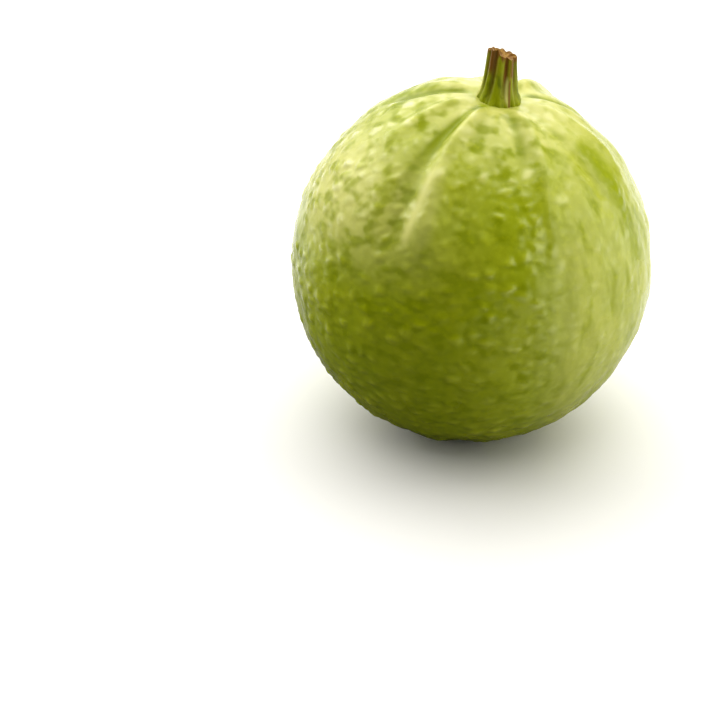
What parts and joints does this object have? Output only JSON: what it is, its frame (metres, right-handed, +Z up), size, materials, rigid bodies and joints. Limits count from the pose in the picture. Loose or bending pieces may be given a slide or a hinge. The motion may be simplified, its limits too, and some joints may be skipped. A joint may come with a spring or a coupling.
{
  "type": "guava",
  "caption": "Whole round guava with ribs round its stalk, lumpy yellow-green skin, a fluted stub of stalk and a dried calyx underneath; rests on a small flat ring.",
  "frame": {"origin": "on the surface that the fruit stands on, under the middle of the fruit's widest ring", "axes": "+Z up, from the calyx to the stalk; -Y to the front of the picture's view; +X to its right, the way the stalk's end leans"},
  "size_m": [0.0912, 0.0921, 0.1017],
  "materials": {
    "skin": "waxy yellow-green fruit skin with pale ribs, fine lumps and speckles",
    "stalk": "olive-green fresh wood with brown grooves and a tan cut end",
    "calyx": "dry brown, ragged, matte"
  },
  "bodies": {
    "root": {"fruit": "skin", "stalk": "stalk", "calyx": "calyx"}
  },
  "joints": []
}
